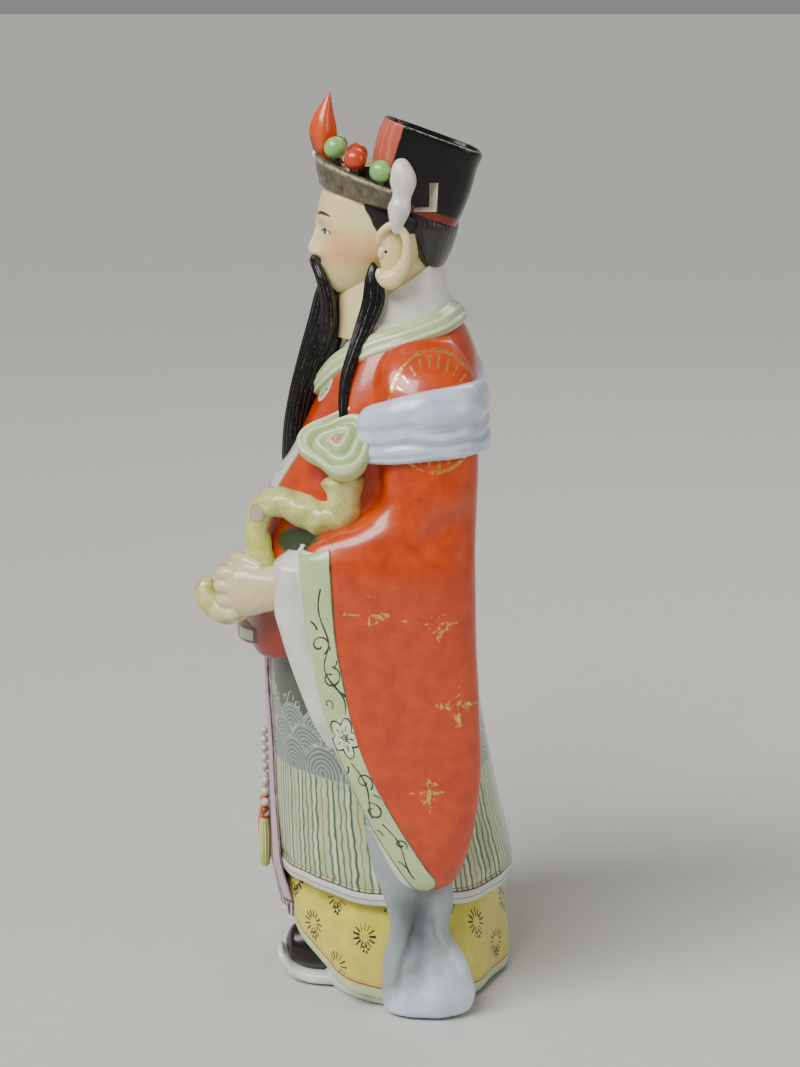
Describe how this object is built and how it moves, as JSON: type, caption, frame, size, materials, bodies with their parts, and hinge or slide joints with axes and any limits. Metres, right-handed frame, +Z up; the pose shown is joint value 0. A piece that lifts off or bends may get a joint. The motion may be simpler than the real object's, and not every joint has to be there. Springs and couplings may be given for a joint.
{
  "type": "porcelain deity figure",
  "caption": "Standing bearded court official in glazed porcelain, with long hanging sleeves, a tall hat, a beaded crown and a ruyi sceptre.",
  "frame": {"origin": "middle of the flat underside that the figure stands on", "axes": "+Z up towards the crown, -Y the way the figure faces, +X towards its left hand"},
  "size_m": [0.174, 0.1651, 0.46],
  "materials": {
    "porcelain": "clear glaze over coloured enamels, mostly orange red"
  },
  "bodies": {
    "root": {"figure": "porcelain"}
  },
  "joints": []
}
